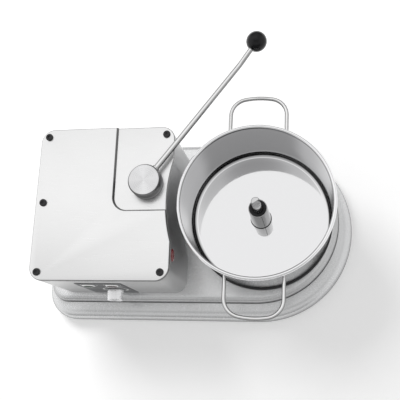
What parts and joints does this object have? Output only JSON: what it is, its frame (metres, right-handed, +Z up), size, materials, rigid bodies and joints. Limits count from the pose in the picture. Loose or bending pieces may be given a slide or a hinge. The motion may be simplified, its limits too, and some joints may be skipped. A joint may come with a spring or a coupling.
{
  "type": "meat bowl cutter",
  "caption": "Table-top bowl cutter with a lift-out steel bowl, a belt-driven knife spindle, a locking lever and a front control panel.",
  "frame": {"origin": "middle of the machine's footprint, on the surface that it stands on", "axes": "+X from the motor housing towards the bowl, +Y to the back, +Z up"},
  "size_m": [0.6499, 0.5428, 0.2782],
  "materials": {
    "cast_aluminium": "satin, fine blasted",
    "housing_aluminium": "satin",
    "cover_aluminium": "satin",
    "polished_steel": "mirror polished",
    "turned_steel": "turned",
    "plain_steel": "plain",
    "zinc_plate": "zinc plated",
    "black_plastic": "glossy",
    "black_matte": "matt",
    "black_rubber": "matt",
    "panel_grey": "satin enamel",
    "button_green": "glossy",
    "button_red": "glossy",
    "lens_red": "clear moulded",
    "knob_silver": "satin turned",
    "motor_paint": "satin enamel",
    "bronze": "sintered",
    "magnet": "plain",
    "white_plastic": "matt"
  },
  "bodies": {
    "machine": {"base_casting": "cast_aluminium", "bottom_plate": "plain_steel", "rubber_feet": "black_rubber", "foot_screws": "zinc_plate", "housing_shell": "housing_aluminium", "housing_bolts": "zinc_plate", "top_cover": "cover_aluminium", "cover_screws": "black_plastic", "lever_bush": "bronze", "magnetic_switch": "black_matte", "bowl_seat_ring": "black_rubber", "spindle_housing": "cast_aluminium", "spindle_housing_bolts": "zinc_plate", "lower_bearing": "plain_steel", "bearing_spacer": "plain_steel", "upper_bearing": "plain_steel", "bearing_circlip": "plain_steel", "spindle_bush": "bronze", "drive_belt": "black_rubber", "motor_body": "motor_paint", "motor_bolts": "zinc_plate", "motor_cowl": "motor_paint", "control_panel": "panel_grey", "button_bezels": "turned_steel", "switch_blocks": "black_matte", "potentiometer": "zinc_plate", "pilot_lens": "lens_red", "pilot_lamp_body": "white_plastic", "cable_gland": "black_matte", "gland_locknut": "black_matte", "terminal_block": "white_plastic", "inverter_box": "black_matte"},
    "lever": {"lever_hub": "turned_steel", "lever_grub_screw": "zinc_plate", "lever_rod": "polished_steel", "lever_ball": "black_plastic", "lever_shaft": "plain_steel", "lever_circlip": "plain_steel", "magnet_arm": "black_matte", "lever_magnet": "magnet"},
    "bowl": {"bowl": "polished_steel", "bowl_tube": "polished_steel", "tube_collar": "black_rubber", "front_handle": "polished_steel", "back_handle": "polished_steel"},
    "spindle": {"spindle": "polished_steel", "spindle_pulley": "cast_aluminium", "spindle_key": "plain_steel", "spindle_nut": "zinc_plate"},
    "motor_rotor": {"motor_shaft": "plain_steel", "motor_pulley": "plain_steel", "motor_fan": "black_matte"},
    "start_button": {"start_button": "button_green"},
    "stop_button": {"stop_button": "button_red"},
    "speed_knob": {"speed_knob": "knob_silver", "potentiometer_shaft": "plain_steel"}
  },
  "joints": [
    {"name": "lever_swing", "type": "hinge", "parent": "machine", "child": "lever", "pos_m": [-0.0635, -0.0212, 0.24], "axis": [0, 0, 1], "range_deg": [-62, 35]},
    {"name": "bowl_lift", "type": "slide", "parent": "machine", "child": "bowl", "axis": [0, 0, 1], "range_m": [0, 0.2]},
    {"name": "spindle_spin", "type": "hinge", "parent": "machine", "child": "spindle", "pos_m": [0.14, -0.0537, 0.1], "axis": [0, 0, 1], "continuous": true},
    {"name": "motor_spin", "type": "hinge", "parent": "machine", "child": "motor_rotor", "pos_m": [-0.16, -0.0537, 0.1], "axis": [0, 0, 1], "continuous": true},
    {"name": "start_press", "type": "slide", "parent": "machine", "child": "start_button", "axis": [0, 1, 0], "range_m": [0, 0.003], "stiffness_N_per_m": 400, "springref_m": -0.001},
    {"name": "stop_press", "type": "slide", "parent": "machine", "child": "stop_button", "axis": [0, 1, 0], "range_m": [0, 0.003], "stiffness_N_per_m": 400, "springref_m": -0.001},
    {"name": "speed_turn", "type": "hinge", "parent": "machine", "child": "speed_knob", "pos_m": [-0.147, -0.2067, 0.1255], "axis": [0, -1, 0], "range_deg": [-135, 135]}
  ],
  "couplings": [
    {"joint": "motor_spin", "follows": "spindle_spin", "ratio": 2.4}
  ]
}
